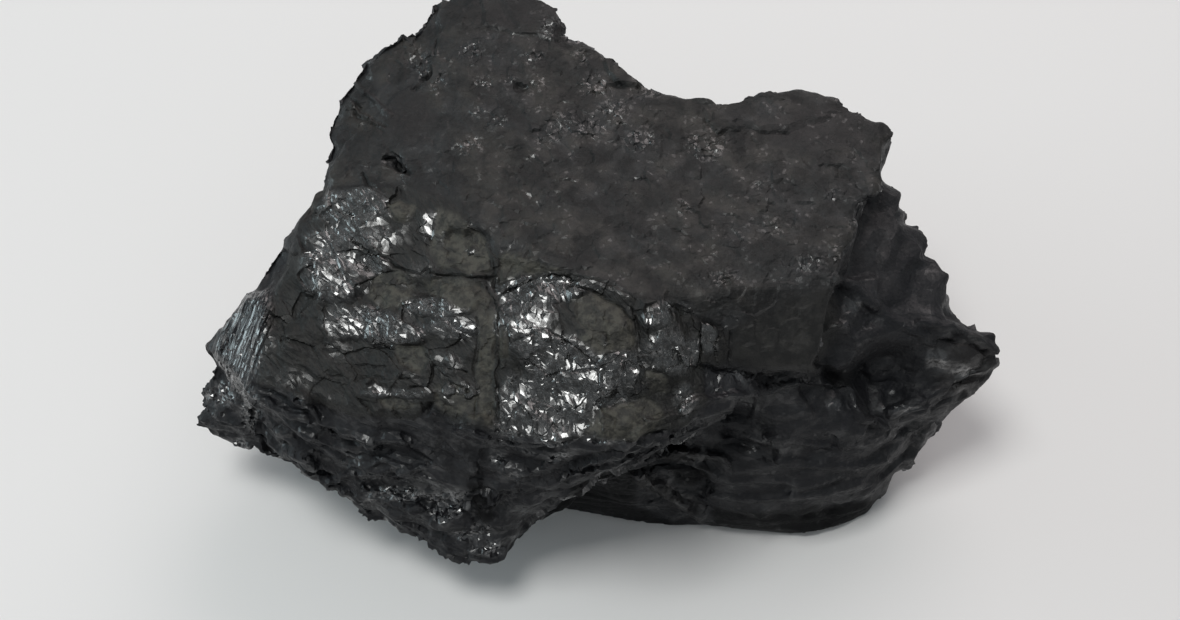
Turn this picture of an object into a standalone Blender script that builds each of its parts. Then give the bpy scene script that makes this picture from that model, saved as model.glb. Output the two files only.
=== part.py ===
"""A hand-sized lump of layered black coal, modelled as the real thing is: one solid.

The lump is built the way coal breaks. Rough fracture masses, each the hull of a few corner points,
are fused into one closed body by a voxel remesh. The body is then terraced along its bedding,
broken into small fracture facets, cracked, and reduced to a light faceted solid that stands on
one flat parting face.

Lengths in the constants and corner lists are millimetres. X runs along the lump, +Y is its back
and +Z is up, and the bedding lies almost level.
"""

import bmesh
import bpy
import numpy as np

MM = 0.001

# Driving dimensions, mm
SLAB_THICKNESS = 10.0
FUSE_VOXEL = 0.8
REST_CUT = 0.4
MOST_TRIANGLES = 9600

# Bedding: beds of uneven thickness, dipping a little to the left and back
BED_THICKNESS = (1.7, 2.6, 1.3, 3.2, 1.9, 1.2, 2.8, 2.1, 1.5, 3.0)
BED_DIP = (0.05, -0.03)
BED_WARP = 1.3
LEDGE_DEPTH = 0.75
TERRACE_SHARE = 0.45

# Fracture facets: plates of about this size, tilted at random
FACET_SIZE = 9.0
FACET_TILT = 0.14
GRAIN_HEIGHT = 0.22

# How much of that weathering reaches the top slab, and how much is lost on a clean face
TOP_SHARE = 0.15
CLEAN_LOSS = 0.8

# The dull top slab: its rim seen from above, with the height of its upper face at each point.
SLAB_RIM = [
    (-34.5, 6.5, 42.5), (-35.0, 13.0, 42.0), (-34.8, 16.6, 41.5), (-36.3, 17.8, 41.0), (-34.6, 20.5, 41.5),
    (-33.4, 24.0, 42.0), (-30.5, 28.5, 42.5), (-26.5, 31.5, 43.5), (-22.6, 34.5, 45.0), (-21.6, 37.5, 46.0),
    (-19.5, 39.5, 46.5), (-12.0, 39.8, 46.5), (-4.8, 36.4, 46.5), (-4.2, 30.8, 46.0), (2.5, 27.2, 45.5),
    (3.5, 25.6, 45.5), (8.0, 23.3, 45.0), (14.0, 20.8, 45.0), (17.6, 19.4, 45.0), (22.4, 21.8, 45.0),
    (28.0, 23.4, 45.0), (34.5, 20.2, 45.0), (36.2, 17.4, 45.0), (40.4, 15.4, 44.5), (37.3, 8.0, 44.0),
    (33.4, -0.6, 44.0), (30.6, -8.5, 43.0), (18.0, -8.5, 44.5), (9.0, -11.5, 45.0), (3.7, -9.6, 45.5),
    (-3.7, -6.6, 45.5), (-11.5, -4.5, 45.5), (-15.3, 1.5, 45.5), (-19.5, 5.0, 45.0), (-24.5, 6.0, 44.0),
]

# Fracture masses: each is the convex hull of its corners.
MASSES = {
    "core": [
        (-30, 30, 38), (-34, 20, 37), (-36, 6, 38), (-10, 36, 39), (8, 24, 38), (30, 20, 38),
        (34, 6, 38), (26, -12, 37), (-30, -8, 36), (4, -14, 38),
        (-34, 34, 22), (-6, 41, 20), (22, 32, 20), (38, 20, 20), (-43, 12, 20),
        (-29, 29, 2), (-4, 35, 0), (24, 27, 0), (36, 12, 0), (34, -12, 0), (6, -14, 0),
        (-24, -6, 0), (-36, 12, 0),
    ],
    "slab_left": [
        (-34.5, 6.5, 42.5), (-36.0, 16.5, 41.8), (-33.4, 24, 42.4), (-26.5, 31.5, 43.8), (-22, 36.5, 45.8),
        (-17, 39, 46.6), (-9, 38, 46.6), (-4.8, 35, 46.5), (2.5, 26.5, 46.1), (12, 20, 45.7),
        (9, -11, 45), (-3.7, -6.6, 45.8), (-15, 1.5, 45.6), (-24.5, 6, 44.5), (-26, 12, 38), (-10, 30, 38),
    ],
    "slab_right": [
        (2, 18, 45.9), (12, 20, 45.7), (22.4, 21.2, 45.5), (28, 22.6, 45.2), (36, 16.8, 45), (39.4, 14.8, 44.6),
        (37, 8, 44.4), (33.2, -0.6, 44.2), (30.4, -8, 43.4), (9, -11, 45), (20, 6, 38),
    ],
    "slab_front": [
        (9, -11, 44.8), (18, -8.5, 44.4), (30.5, -8.5, 43), (28.5, -16, 37.5), (27, -16.4, 36),
        (14, -16.6, 36.5), (21.5, -16.8, 36), (12, -14, 42), (10, -8, 36), (28, -6, 36),
    ],
    "front_block": [
        (-34, 7, 43), (-24, 6, 44.6), (-15, 1, 45.4), (-3.7, -6.6, 45.5), (8.5, -12, 45),
        (13.5, -13, 43),
        (-42, -4.5, 38), (-43.5, -16.3, 33), (-36.7, -19, 34), (-23.6, -22.3, 36), (-13.5, -25.2, 37),
        (-4, -27, 37), (4, -26.5, 37), (12.5, -24, 37), (14.5, -20.5, 36.5), (22.5, -17.2, 34),
        (15.5, -17, 25), (8.7, -17.8, 18), (-20, 4, 14),
        (-46, -13.5, 18), (-44.7, -15.6, 16), (-36, -21.8, 14), (-26, -26.5, 14), (-16, -29.6, 14),
        (-12.7, -29, 14), (-4, -22.3, 14), (7, -18.6, 15),
    ],
    "under_layer": [
        (-46, -14.5, 11), (-39.5, -18.8, 11), (-30, -25, 11), (-21.5, -30, 11), (-13.4, -32.4, 11.5),
        (-11, -30, 10), (-6.5, -26, 11), (1, -21, 11), (-39, -18, 14), (-21, -29, 14), (-13.5, -31, 14),
        (-2, -20, 14), (-40, 0, 9), (0, -6, 4),
    ],
    "left_end": [
        (-42, -4.5, 37.5), (-46.2, -5, 33), (-50.9, -7.4, 28), (-51.8, -8.1, 24), (-43.5, -16, 32),
        (-45.8, -14.5, 25), (-38, 6, 36), (-36, 8, 42), (-40, 5, 12), (-48, -4, 16), (-30, -10, 34),
    ],
    "left_chip": [
        (-52, -8.5, 24), (-53.4, -10, 19), (-55, -12, 14), (-47.3, -15.2, 11), (-50.5, -13.9, 12),
        (-46.5, -14.5, 23), (-44, -4, 22), (-44, -6, 11), (-46, -13, 14),
    ],
    "right_block": [
        (30, 16, 40), (40, 11, 38), (42, 9.2, 36), (45.7, 5.7, 34), (48.2, 0.5, 32), (47.5, -4, 30.5),
        (33, -7, 37), (28, -14, 35), (14, -15.5, 35), (36, 22, 26), (47, 10, 14), (39, 20, 4),
        (44, -8, 14), (12, -18, 14),
    ],
    "right_nose": [
        (34, -7, 36), (43.5, -5, 33), (50.8, -4.5, 29.5), (53.5, -5.5, 28.5), (54.8, -6.8, 27),
        (55.3, -7.4, 24), (54.9, -7.6, 20), (51, -9.6, 15), (42.3, -14.4, 22), (40, -16.4, 20),
        (38, -6, 12), (47, 4, 14), (48, 4, 26),
    ],
    "right_foot": [
        (40, -16.4, 20), (50, -9.4, 15), (47, -12.4, 10), (43.4, -15.7, 3), (40, -19.2, 0),
        (37.6, -20.4, 0),
        (38.5, -20.4, 8), (29, -22.8, 9), (20, -22.2, 9),
        (28.6, -22.3, 0), (20, -21.4, 0), (13, -20.8, 0), (31.7, -14.4, 26), (22, -16, 33), (16, -17, 26),
        (10, -17.5, 14), (16, -10, 30), (42, -4, 0), (12, -6, 0), (46, 0, 8),
    ],
    "small_foot": [
        (6.5, -19.5, 12), (7, -21, 8), (9, -21.6, 0), (14.5, -21.2, 1), (13, -20.5, 8), (3, -18, 0),
        (3, -16, 8), (12, -12, 12), (12, -12, 0),
    ],
}

# Faces that parted clean, so they stay nearly smooth: middle, reach
CLEAN_FACES = [
    ((-46.5, -9.0, 31.5), 8.0),
    ((21.0, -12.5, 40.5), 12.0),
]

# Hollows where a chip has gone: middle, reach, and how far the skin there is pushed
HOLLOWS = [
    ((-25.6, 11.0, 43.2), 2.0, (0.0, 0.0, -2.2)),
    ((32.5, -12.8, 34.5), 4.5, (-1.5, 1.8, -1.8)),
    ((39.5, -11.5, 27.0), 6.0, (0.0, 2.0, -3.0)),
    ((12.5, -19.0, 11.5), 5.0, (0.5, 3.2, 0.5)),
    ((19.0, -18.5, 24.0), 6.0, (0.0, 1.5, -1.0)),
    ((-30.0, 31.0, 26.0), 9.0, (2.2, -3.0, 0.0)),
    ((12.0, 33.0, 12.0), 11.0, (0.0, -3.6, 0.0)),
    ((30.0, 24.0, 30.0), 8.0, (-1.2, -2.6, -0.6)),
]

# Cracks in the glossy slope: each a route seen from above, with its width and depth.
CRACKS = [
    ([(-29.5, -2.0), (-24.5, -6.0), (-19.5, -7.5)], 1.2, 0.8),
    ([(-26.0, -6.5), (-27.0, -10.0), (-25.5, -13.5)], 1.1, 0.6),
    ([(-18.5, -6.0), (-15.0, -8.0), (-11.8, -7.5)], 1.2, 0.8),
    ([(-10.8, -10.5), (-7.5, -7.6), (-3.5, -7.2), (0.5, -9.6), (5.5, -13.5)], 1.2, 0.7),
    ([(5.8, -11.0), (6.0, -18.0)], 1.1, 0.7),
    ([(9.5, -10.5), (12.0, -13.0), (13.2, -18.0)], 1.3, 1.1),
]


def lattice_value(cells, seed):
    """A repeatable random value from -1 to 1 for each whole-numbered cell."""
    mixed = cells[..., 0] * 73856093 ^ cells[..., 1] * 19349663 ^ cells[..., 2] * 83492791 ^ seed * 97531
    mixed = ((mixed ^ (mixed >> 13)) * 1274126177) & 0xFFFFFFFF
    mixed = ((mixed ^ (mixed >> 16)) * 2246822519) & 0xFFFFFFFF
    return ((mixed ^ (mixed >> 15)) & 0xFFFFFF) / float(0xFFFFFF) * 2.0 - 1.0


def noise(points, cell, seed):
    """Smooth noise from -1 to 1: random values on a cubic lattice of that cell size, blended between."""
    place = points / cell
    base = np.floor(place).astype(np.int64)
    part = place - base
    ease = part * part * (3.0 - 2.0 * part)
    total = np.zeros(len(points))
    for corner in range(8):
        step = np.array([corner & 1, (corner >> 1) & 1, corner >> 2])
        weight = np.prod(np.where(step, ease, 1.0 - ease), axis=1)
        total += weight * lattice_value(base + step, seed)
    return total


def smooth_step(low, high, value):
    part = np.clip((value - low) / (high - low), 0.0, 1.0)
    return part * part * (3.0 - 2.0 * part)


def add_hull(mesh, corners):
    made = [mesh.verts.new(corner) for corner in corners]
    hull = bmesh.ops.convex_hull(mesh, input=made)
    spare = [item for item in hull["geom_interior"] if isinstance(item, bmesh.types.BMVert)]
    bmesh.ops.delete(mesh, geom=spare, context="VERTS")


def add_slab(mesh, rim, thickness):
    """A bedding slab: its rim is filled above and below and walled round."""
    upper = [mesh.verts.new(corner) for corner in rim]
    lower = [mesh.verts.new((x, y, z - thickness)) for x, y, z in rim]
    mesh.faces.new(upper)
    mesh.faces.new(lower[::-1])
    for i, top in enumerate(upper):
        mesh.faces.new((upper[i - 1], top, lower[i], lower[i - 1]))


def fused_masses():
    """Every mass and the slab in one mesh, fused to a single closed skin by a voxel remesh."""
    mesh = bmesh.new()
    for corners in MASSES.values():
        add_hull(mesh, corners)
    add_slab(mesh, SLAB_RIM, SLAB_THICKNESS)
    bmesh.ops.recalc_face_normals(mesh, faces=mesh.faces)
    data = bpy.data.meshes.new("masses")
    mesh.to_mesh(data)
    mesh.free()
    guide = bpy.data.objects.new("masses", data)
    bpy.context.scene.collection.objects.link(guide)
    remesh = guide.modifiers.new("fuse", "REMESH")
    remesh.mode = "VOXEL"
    remesh.voxel_size = FUSE_VOXEL
    fused = evaluated_copy(guide, "fused")
    bpy.data.objects.remove(guide)
    return fused


def evaluated_copy(thing, name):
    """A new mesh with the object's modifiers applied."""
    graph = bpy.context.evaluated_depsgraph_get()
    return bpy.data.meshes.new_from_object(thing.evaluated_get(graph)).copy()


def vertex_array(mesh, what):
    values = np.empty(len(mesh.vertices) * 3)
    if what == "normal":
        mesh.vertex_normals.foreach_get("vector", values)
    else:
        mesh.vertices.foreach_get("co", values)
    return values.reshape(-1, 3)


def bed_height(points):
    """Height measured across the gently dipping, wavy bedding."""
    wave = BED_WARP * (noise(points * (1.0, 1.0, 0.3), 13.0, 3) + 0.4 * noise(points, 5.0, 4))
    return points[:, 2] + points[:, 0] * BED_DIP[0] + points[:, 1] * BED_DIP[1] + wave


def bed_table():
    """Bed boundaries from under the lump to over it, repeating the list of thicknesses."""
    edges = [-8.0]
    while edges[-1] < 60.0:
        edges.append(edges[-1] + BED_THICKNESS[len(edges) % len(BED_THICKNESS)])
    return np.array(edges)


def ledges(points, normals):
    """Beds stand proud or lie back on steep faces, and gentle slopes become treads and risers."""
    edges = bed_table()
    height = bed_height(points)
    bed = np.searchsorted(edges, height) - 1
    low, high = edges[bed], edges[bed + 1]
    within = (height - low) / (high - low)
    label = np.stack([bed * 7.0] * 3, axis=1)
    proud = noise(points * (1.0, 1.0, 0.0) + label * 31.7, 13.0, 11)
    proud += 0.6 * lattice_value(np.stack([bed, bed * 0, bed * 0], axis=1), 17)
    groove = 1.0 - smooth_step(0.0, 0.22, within) * smooth_step(0.0, 0.12, 1.0 - within)
    steep = smooth_step(0.4, 0.75, 1.0 - np.abs(normals[:, 2]))
    steep *= 0.35 + 0.65 * smooth_step(-0.35, 0.3, noise(points, 10.0, 13))
    outward = normals * (1.0, 1.0, 0.0)
    outward /= np.maximum(np.linalg.norm(outward, axis=1), 0.2)[:, None]
    shift = outward * (steep * LEDGE_DEPTH * (proud - 0.5 * groove))[:, None]
    gentle = smooth_step(0.04, 0.12, 1.0 - normals[:, 2]) * (1.0 - steep) * (normals[:, 2] > 0.0)
    tread = low + (high - low) * smooth_step(0.55, 0.95, within)
    shift[:, 2] += TERRACE_SHARE * gentle * (tread - height)
    return shift


def facets(points, normals):
    """Small fracture plates: each point takes the tilt of its nearest scattered centre."""
    place = points / FACET_SIZE
    base = np.floor(place).astype(np.int64)
    nearest = np.full(len(points), np.inf)
    lift = np.zeros(len(points))
    for step in np.ndindex(3, 3, 3):
        cell = base + np.array(step) - 1
        jitter = np.stack([lattice_value(cell, seed) for seed in (21, 22, 23)], axis=1)
        away = place - (cell + 0.5 + 0.42 * jitter)
        distance = np.einsum("ij,ij->i", away, away)
        tilt = np.stack([lattice_value(cell, seed) for seed in (24, 25, 26)], axis=1)
        closer = distance < nearest
        nearest = np.where(closer, distance, nearest)
        lift = np.where(closer, np.einsum("ij,ij->i", away, tilt), lift)
    return normals * (FACET_SIZE * FACET_TILT * lift)[:, None]


def crack_depth(points, route, width, depth):
    """A vee-shaped groove along a route seen from above: deepest on the route, gone half a width away."""
    nearest = np.full(len(points), np.inf)
    for start, end in zip(route[:-1], route[1:]):
        a, b = np.array(start), np.array(end)
        along = np.clip(((points[:, :2] - a) @ (b - a)) / ((b - a) @ (b - a)), 0.0, 1.0)
        gap = np.linalg.norm(points[:, :2] - (a + along[:, None] * (b - a)), axis=1)
        nearest = np.minimum(nearest, gap)
    return depth * np.clip(1.0 - nearest / width, 0.0, 1.0)


def roughness_share(points, normals):
    """How much each point weathers: little on the top slab and the clean faces, nothing at the foot."""
    top = smooth_step(0.93, 0.99, normals[:, 2]) * smooth_step(38.0, 41.0, points[:, 2])
    share = 1.0 - (1.0 - TOP_SHARE) * top
    for middle, reach in CLEAN_FACES:
        near = 1.0 - smooth_step(0.6, 1.0, np.linalg.norm(points - middle, axis=1) / reach)
        share *= 1.0 - CLEAN_LOSS * near
    return share * smooth_step(0.0, 2.0, points[:, 2])


def hollows(points):
    """Chips gone from the skin: each is deepest at its middle and fades out at its reach."""
    shift = np.zeros_like(points)
    for middle, reach, push in HOLLOWS:
        near = np.clip(1.0 - np.linalg.norm(points - middle, axis=1) / reach, 0.0, 1.0)
        shift += smooth_step(0.0, 0.7, near)[:, None] * push
    return shift


def weather(mesh):
    """Moves the fused skin: facets, ledges, hollows, grain and then cracks."""
    points = vertex_array(mesh, "place")
    normals = vertex_array(mesh, "normal")
    free = roughness_share(points, normals)[:, None]
    points += free * facets(points, normals)
    points += free * ledges(points, normals)
    points += hollows(points)
    grain = noise(points, 3.2, 41) + 0.5 * noise(points, 1.7, 42)
    points += free * normals * (GRAIN_HEIGHT * grain)[:, None]
    on_top = smooth_step(0.6, 0.8, normals[:, 2])
    for route, width, depth in CRACKS:
        points[:, 2] -= on_top * crack_depth(points, route, width, depth)
    mesh.vertices.foreach_set("co", points.ravel())
    mesh.update()


def cut_rest_face(mesh):
    """Parts the body level just above its lowest points, fills the cut and sets it at height nought."""
    work = bmesh.new()
    work.from_mesh(mesh)
    everything = work.verts[:] + work.edges[:] + work.faces[:]
    bmesh.ops.bisect_plane(
        work, geom=everything, plane_co=(0, 0, REST_CUT), plane_no=(0, 0, 1), dist=1e-4, clear_inner=True
    )
    rim = [edge for edge in work.edges if edge.is_boundary]
    bmesh.ops.holes_fill(work, edges=rim, sides=0)
    bmesh.ops.triangulate(work, faces=work.faces)
    bmesh.ops.translate(work, verts=work.verts, vec=(0, 0, -REST_CUT))
    work.to_mesh(mesh)
    work.free()


def lightened(mesh):
    """The same skin with its triangles gathered where it bends, under the limit for one piece."""
    holder = bpy.data.objects.new("heavy", mesh)
    bpy.context.scene.collection.objects.link(holder)
    thin = holder.modifiers.new("thin", "DECIMATE")
    thin.use_collapse_triangulate = True
    thin.ratio = MOST_TRIANGLES / (2.0 * len(mesh.polygons))
    light = evaluated_copy(holder, "light")
    bpy.data.objects.remove(holder)
    return light


def centred(mesh):
    """Puts the middle of the lump's box over the origin and turns millimetres into metres."""
    points = vertex_array(mesh, "place")
    middle = (points.min(axis=0) + points.max(axis=0)) / 2.0
    points -= (middle[0], middle[1], 0.0)
    mesh.vertices.foreach_set("co", (points * MM).ravel())
    mesh.update()


def coal_finish():
    finish = bpy.data.materials.new("coal")
    finish.use_nodes = True
    shader = finish.node_tree.nodes["Principled BSDF"]
    shader.inputs["Base Color"].default_value = (0.03, 0.03, 0.031, 1.0)
    shader.inputs["Roughness"].default_value = 0.45
    shader.inputs["Metallic"].default_value = 0.0
    return finish


def main():
    for old in list(bpy.data.objects):
        bpy.data.objects.remove(old)
    body = fused_masses()
    weather(body)
    body = lightened(body)
    cut_rest_face(body)
    centred(body)
    body.name = "coal_lump"
    body.materials.append(coal_finish())
    lump = bpy.data.objects.new("coal_lump", body)
    bpy.context.scene.collection.objects.link(lump)


main()
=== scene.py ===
"""Looks of a hand-sized lump of layered black coal: its weathered skin, finish, floor, light and camera.

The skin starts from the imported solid. It is cut up finely by a voxel remesh, and every point is then
moved by whole-array formulas: beds, fracture plates, ridges, hackle, cracks, grains and striations.
Lengths in the constants are millimetres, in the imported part's frame, unless the name says pixels.
Places on the side that the camera sees are given in the camera's own picture, 1180 by 620 pixels.
"""

import math

import bmesh
import bpy
import numpy as np
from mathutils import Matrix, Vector


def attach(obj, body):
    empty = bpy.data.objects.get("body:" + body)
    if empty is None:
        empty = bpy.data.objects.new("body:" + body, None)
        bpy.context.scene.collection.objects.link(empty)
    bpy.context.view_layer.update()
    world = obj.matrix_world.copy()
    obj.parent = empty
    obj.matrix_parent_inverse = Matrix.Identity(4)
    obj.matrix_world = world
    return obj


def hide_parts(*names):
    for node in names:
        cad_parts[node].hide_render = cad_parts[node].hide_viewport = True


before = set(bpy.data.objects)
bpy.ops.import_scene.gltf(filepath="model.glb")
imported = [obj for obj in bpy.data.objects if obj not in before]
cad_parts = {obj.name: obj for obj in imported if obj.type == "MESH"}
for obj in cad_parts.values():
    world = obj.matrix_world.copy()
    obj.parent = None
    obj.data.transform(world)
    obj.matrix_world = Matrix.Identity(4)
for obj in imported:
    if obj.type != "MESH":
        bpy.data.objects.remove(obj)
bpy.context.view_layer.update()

MM = 0.001

# Camera
PICTURE_PIXELS = (1180, 620)
LENS_MM = 50.0
SENSOR_MM = 36.0
CAMERA_ELEVATION = math.radians(58.0)
CAMERA_DISTANCE = 225.0
AIM_POINT = (-0.45, -4.72, 24.6)

# Skin: remesh cell, smoothing rounds, how lively a place is before it is cut finer, and its triangles
SKIN_VOXEL = 0.33
CREASE_SMOOTHING = 6
LIVELY_ENOUGH = 0.25
SKIN_TRIANGLES = 194000

# Heights above the table between which relief eases in, so that the rest face stays flat
FOOTING_FADE = (0.3, 2.0)

# Streaks on the glossy slope: their direction seen from above, left of the matte strip and right of it
STREAK_LEANS = (math.radians(-44.0), math.radians(-72.0))
STRIP_PIXEL = 486.0


# ---------------------------------------------------------------- camera

TOWARDS_CAMERA = np.array([0.0, -math.cos(CAMERA_ELEVATION), math.sin(CAMERA_ELEVATION)])
PICTURE_UP = np.array([0.0, math.sin(CAMERA_ELEVATION), math.cos(CAMERA_ELEVATION)])
PICTURE_RIGHT = np.array([1.0, 0.0, 0.0])
CAMERA_PLACE = np.array(AIM_POINT) + CAMERA_DISTANCE * TOWARDS_CAMERA


def picture_place(points):
    """Where points land in the picture, in pixels: offsets across and down over depth, times the lens."""
    offset = points - CAMERA_PLACE
    pixels_per_slope = PICTURE_PIXELS[0] * LENS_MM / SENSOR_MM
    depth = -(offset @ TOWARDS_CAMERA)
    across = PICTURE_PIXELS[0] / 2 + pixels_per_slope * (offset @ PICTURE_RIGHT) / depth
    down = PICTURE_PIXELS[1] / 2 - pixels_per_slope * (offset @ PICTURE_UP) / depth
    return np.stack([across, down], axis=1)


def on_level(place, height):
    """The point at that height that the picture shows at that place: the view line cut by the level."""
    pixels_per_slope = PICTURE_PIXELS[0] * LENS_MM / SENSOR_MM
    across = (place[0] - PICTURE_PIXELS[0] / 2) / pixels_per_slope
    up = (PICTURE_PIXELS[1] / 2 - place[1]) / pixels_per_slope
    line = across * PICTURE_RIGHT + up * PICTURE_UP - TOWARDS_CAMERA
    return CAMERA_PLACE + line * (height - CAMERA_PLACE[2]) / line[2]


def add_camera():
    """The camera at its distance along its elevation, looking at the aim point."""
    data = bpy.data.cameras.new("camera")
    data.lens = LENS_MM
    data.sensor_width = SENSOR_MM
    data.clip_start = 0.01
    camera = bpy.data.objects.new("camera", data)
    camera.location = CAMERA_PLACE * MM
    camera.rotation_mode = "QUATERNION"
    camera.rotation_quaternion = Vector(TOWARDS_CAMERA).to_track_quat("Z", "Y")
    bpy.context.scene.collection.objects.link(camera)
    bpy.context.scene.camera = camera


# ---------------------------------------------------------------- noise and steps


def smooth_step(low, high, value):
    """0 below low, 1 above high, with an S-shaped rise between."""
    part = np.clip((value - low) / (high - low), 0.0, 1.0)
    return part * part * (3.0 - 2.0 * part)


def lattice_value(cells, seed):
    """A repeatable random value from -1 to 1 for each whole-numbered cell, by mixing its numbers' bits."""
    mixed = cells[..., 0] * 73856093 ^ cells[..., 1] * 19349663 ^ cells[..., 2] * 83492791 ^ seed * 97531
    mixed = ((mixed ^ (mixed >> 13)) * 1274126177) & 0xFFFFFFFF
    mixed = ((mixed ^ (mixed >> 16)) * 2246822519) & 0xFFFFFFFF
    return ((mixed ^ (mixed >> 15)) & 0xFFFFFF) / float(0xFFFFFF) * 2.0 - 1.0


def noise(points, cell, seed):
    """Smooth noise from -1 to 1: random values on a cubic lattice of that cell size, eased between."""
    place = points / cell
    base = np.floor(place).astype(np.int64)
    part = place - base
    ease = part * part * (3.0 - 2.0 * part)
    total = np.zeros(len(points))
    for corner in range(8):
        step = np.array([corner & 1, (corner >> 1) & 1, corner >> 2])
        weight = np.prod(np.where(step, ease, 1.0 - ease), axis=1)
        total += weight * lattice_value(base + step, seed)
    return total


def layered_noise(points, cell, seed, octaves=3):
    """Noise plus finer noise: each octave has half the cell and half the height of the one before."""
    total = np.zeros(len(points))
    for octave in range(octaves):
        total += 0.5**octave * noise(points, cell * 0.5**octave, seed + octave)
    return total


def plates(points, size, seed):
    """Height of tilted fracture plates: each point takes the tilt of its nearest scattered centre.

    The height is the offset from that centre times the centre's own random tilt, so every plate is flat
    and steps at its edges.
    """
    place = points / size
    base = np.floor(place).astype(np.int64)
    nearest = np.full(len(points), np.inf)
    height = np.zeros(len(points))
    for step in np.ndindex(3, 3, 3):
        cell = base + np.array(step) - 1
        jitter = np.stack([lattice_value(cell, seed + i) for i in (1, 2, 3)], axis=1)
        away = place - (cell + 0.5 + 0.42 * jitter)
        distance = np.einsum("ij,ij->i", away, away)
        closer = distance < nearest
        tilt = np.stack([lattice_value(cell, seed + i) for i in (4, 5, 6)], axis=1)
        nearest = np.where(closer, distance, nearest)
        height = np.where(closer, np.einsum("ij,ij->i", away, tilt), height)
    return size * height


def nodules(points, size, seed):
    """Rounded grains: a cap round each scattered centre, of a random height, with creases between them."""
    place = points / size
    base = np.floor(place).astype(np.int64)
    height = np.zeros(len(points))
    for step in np.ndindex(3, 3, 3):
        cell = base + np.array(step) - 1
        jitter = np.stack([lattice_value(cell, seed + i) for i in (1, 2, 3)], axis=1)
        away = place - (cell + 0.5 + 0.35 * jitter)
        cap = 1.0 - np.einsum("ij,ij->i", away, away) / 0.45
        height = np.maximum(height, cap * (0.7 + 0.3 * lattice_value(cell, seed + 4)))
    return size * height


def turned(points, lean):
    """The points with the first axis along that direction seen from above, the second across it."""
    c, s = math.cos(lean), math.sin(lean)
    return points @ np.array([[c, -s, 0.0], [s, c, 0.0], [0.0, 0.0, 1.0]])


def creases(points, cell, seed):
    """Sharp crests between smooth hollows: 1 less the size of smooth noise, from 0 to 1."""
    return 1.0 - np.abs(noise(points, cell, seed))


def route_distance(places, route):
    """Distance of each plane point from a line of straight runs: the least over the runs."""
    nearest = np.full(len(places), np.inf)
    for start, end in zip(route[:-1], route[1:]):
        a, b = np.array(start, float), np.array(end, float)
        along = np.clip(((places - a) @ (b - a)) / ((b - a) @ (b - a)), 0.0, 1.0)
        gap = np.linalg.norm(places - (a + along[:, None] * (b - a)), axis=1)
        nearest = np.minimum(nearest, gap)
    return nearest


def inside_outline(places, outline, fade):
    """1 inside a closed outline and 0 outside, eased over a band of that width centred on the outline."""
    ring = list(outline) + [outline[0]]
    crossings = np.zeros(len(places), int)
    for (x0, y0), (x1, y1) in zip(ring[:-1], ring[1:]):
        spans = (places[:, 1] > y0) != (places[:, 1] > y1)
        rise = y1 - y0 if y1 != y0 else 1e-9
        crossings += spans & (places[:, 0] < x0 + (places[:, 1] - y0) * (x1 - x0) / rise)
    signed = route_distance(places, ring) * np.where(crossings % 2, 1.0, -1.0)
    return smooth_step(-fade / 2, fade / 2, signed)


# ---------------------------------------------------------------- the visible side, in picture pixels

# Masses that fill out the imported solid: corners as picture place and height in millimetres
FILLS = {
    "dark wall behind the overhang": [
        (560, 509, 0.8), (590, 507, 0.8), (612, 516, 0.8), (640, 524, 0.8), (572, 490, 9.0),
        (606, 476, 16.0), (640, 470, 18.0), (652, 500, 6.0), (560, 470, 3.0), (640, 450, 3.0),
        (600, 452, 16.0),
    ],
    "bridge behind the left chip": [
        (247, 437, 13.0), (262, 455, 11.0), (285, 466, 11.0), (252, 412, 20.0), (275, 425, 17.0),
        (300, 450, 12.0), (262, 400, 12.0), (300, 410, 12.0),
    ],
    "back left block": [
        (500, -4, 46.6), (542, 2, 46.9), (556, 10, 46.8), (559, 24, 46.5), (553, 34, 46.2),
        (520, 30, 46.4), (505, -4, 42.0), (552, 8, 42.0), (550, 30, 42.0), (515, 26, 42.0),
    ],
    "foot wedge": [
        (636, 477, 13.2), (650, 486, 11.0), (699, 514, 3.6), (662, 469, 13.8), (690, 472, 12.6),
        (712, 483, 9.6), (708, 500, 5.6), (630, 523, 0.8), (700, 518, 0.8), (612, 516, 0.8),
        (700, 505, 0.8), (680, 480, 2.0), (630, 480, 4.0), (640, 456, 15.0), (664, 444, 15.5),
        (704, 438, 15.5), (722, 458, 12.5),
    ],
    "underside of the nose": [
        (992, 378, 21.0), (965, 402, 18.5), (938, 424, 16.0), (900, 440, 14.0), (960, 385, 24.0),
        (930, 395, 20.0), (940, 380, 14.0), (900, 420, 10.0),
    ],
}

# The pocket over the thin layer under the left end, filled from behind: corners in millimetres
POCKET = [
    (-45.0, -14.0, 12.0), (-42.0, -12.5, 10.0), (-39.0, -9.5, 9.5), (-36.0, -6.5, 9.0),
    (-30.0, -6.5, 8.3), (-24.0, -12.0, 8.0), (-10.0, -17.0, 8.0), (-10.0, -20.0, 8.0),
    (-30.0, -19.0, 9.5), (-44.0, -18.0, 12.0), (-45.0, -14.0, 20.0), (-42.0, -11.0, 21.0),
    (-39.0, -7.0, 22.0), (-36.0, -4.5, 23.0), (-32.0, -5.0, 21.0), (-28.0, -8.0, 16.0),
    (-10.0, -16.0, 14.0), (-10.0, -20.0, 14.0), (-30.0, -19.0, 15.0), (-44.0, -18.0, 20.0),
]

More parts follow.
